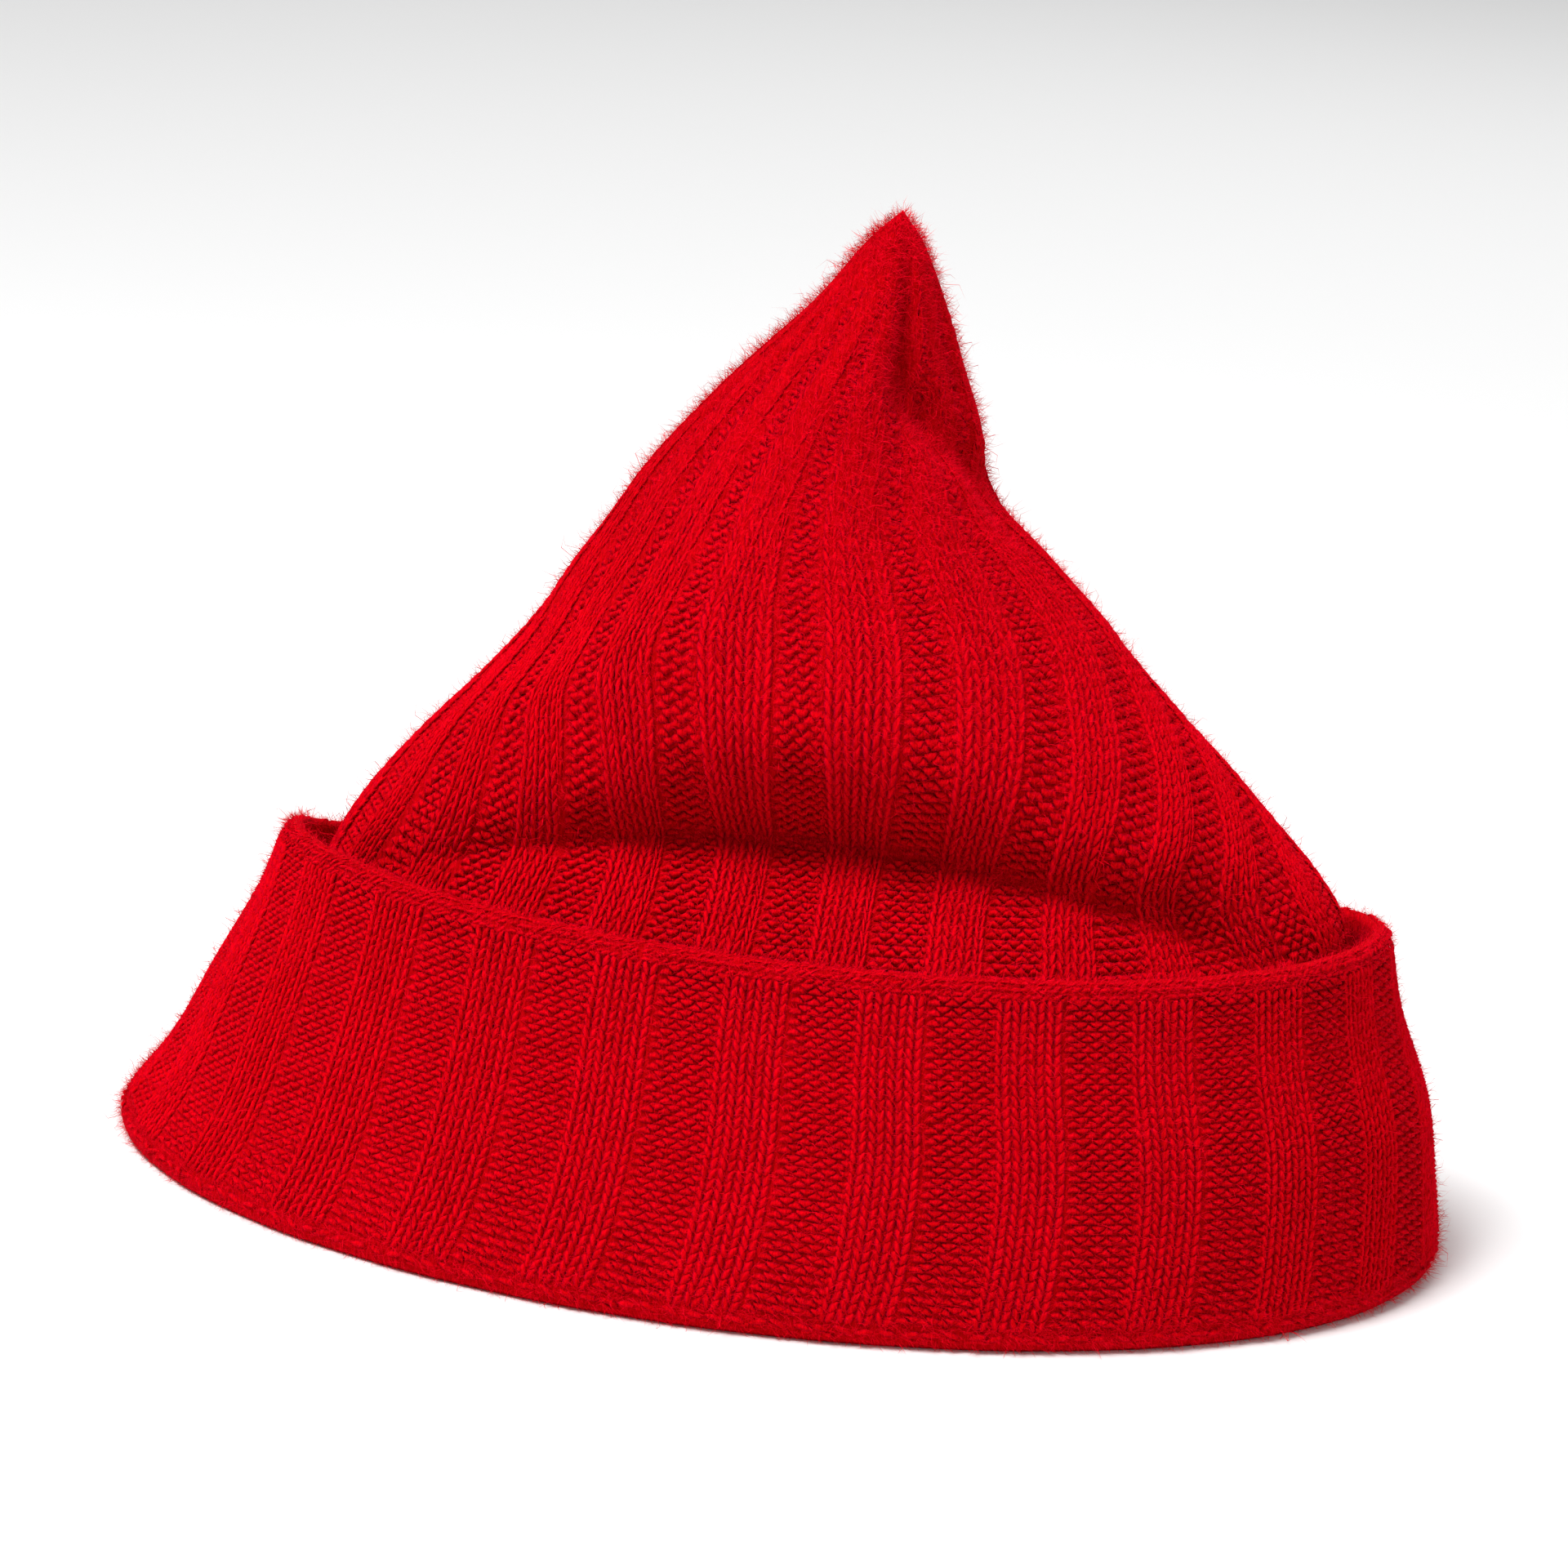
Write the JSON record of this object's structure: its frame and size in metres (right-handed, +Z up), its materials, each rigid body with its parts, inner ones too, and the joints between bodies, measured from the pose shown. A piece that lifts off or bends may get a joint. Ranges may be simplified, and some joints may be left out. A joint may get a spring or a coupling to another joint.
{
  "type": "cuffed cashmere beanie",
  "caption": "Soft ribbed cashmere beanie with a turned-up cuff, standing on its opening, its slack crown drawn up to a point with a deep fold across the front.",
  "frame": {"origin": "on the ground, in the middle of the hat's bounding box, at the middle of the rim", "axes": "+X along the rim's long axis, to the right seen from the front; -Y out of the front, where the crown's deep fold is; +Z up, from the opening to the tip"},
  "size_m": [0.2247, 0.1486, 0.1665],
  "materials": {
    "knit": "soft brushed cashmere rib knit, matt with a short halo of fibres"
  },
  "bodies": {
    "root": {"crown": "knit", "cuff": "knit"}
  },
  "joints": []
}
